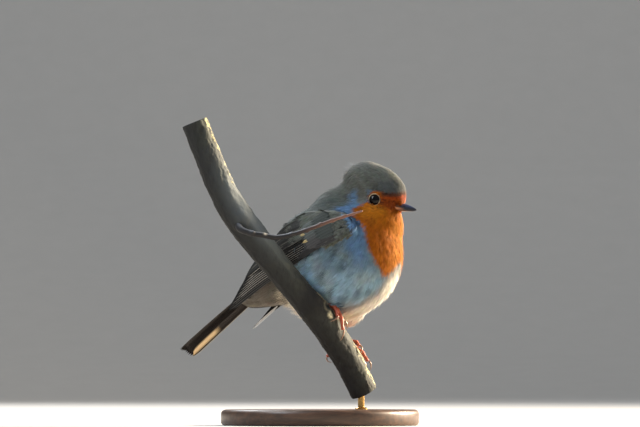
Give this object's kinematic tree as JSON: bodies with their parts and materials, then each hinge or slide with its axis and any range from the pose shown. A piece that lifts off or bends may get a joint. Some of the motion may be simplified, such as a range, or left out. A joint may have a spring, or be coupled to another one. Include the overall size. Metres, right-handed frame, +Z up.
{
  "type": "european robin",
  "caption": "Life-size european robin perched upright on a slanting cut branch with a side twig, its head turned level and its tail down, held on a round display stand.",
  "frame": {"origin": "centre of the underside of the round display base, which rests on the ground", "axes": "+Z up; +X is the side that the bill points to, with the bird turned 20 degrees from +X towards -Y; -Y is the side that shows its right wing"},
  "size_m": [0.1154, 0.094, 0.1448],
  "materials": {
    "plumage_olive": "soft olive grey-brown feathers",
    "plumage_orange": "soft orange feathers",
    "plumage_pale": "soft grey-white and buff feathers",
    "quills": "smooth grey-brown flight and tail feathers",
    "bill_horn": "smooth dark horn",
    "eye": "polished, very dark brown",
    "leg_skin": "fine scaly skin, orange-brown",
    "claw_horn": "smooth brown horn",
    "bark": "rough bark with pale green lichen",
    "base_wood": "turned and waxed dark wood",
    "brass": "polished rod"
  },
  "bodies": {
    "root": {"bill_lower": "bill_horn", "bill_upper": "bill_horn", "claw_left_hind": "claw_horn", "claw_left_inner": "claw_horn", "claw_left_middle": "claw_horn", "claw_left_outer": "claw_horn", "claw_right_hind": "claw_horn", "claw_right_inner": "claw_horn", "claw_right_middle": "claw_horn", "claw_right_outer": "claw_horn", "eye_left": "eye", "eye_right": "eye", "foot_left": "leg_skin", "foot_right": "leg_skin", "head": "plumage_olive", "leg_left": "leg_skin", "leg_right": "leg_skin", "neck": "plumage_orange", "perch_branch": "bark", "perch_twig": "bark", "rump": "plumage_pale", "stand_base": "base_wood", "stand_rod": "brass", "tail": "quills", "thigh_left": "plumage_pale", "trunk": "plumage_pale", "wing_left_coverts": "plumage_olive", "wing_left_primaries": "quills", "wing_left_secondaries": "quills", "wing_right_coverts": "plumage_olive", "wing_right_primaries": "quills", "wing_right_secondaries": "quills"}
  },
  "joints": []
}
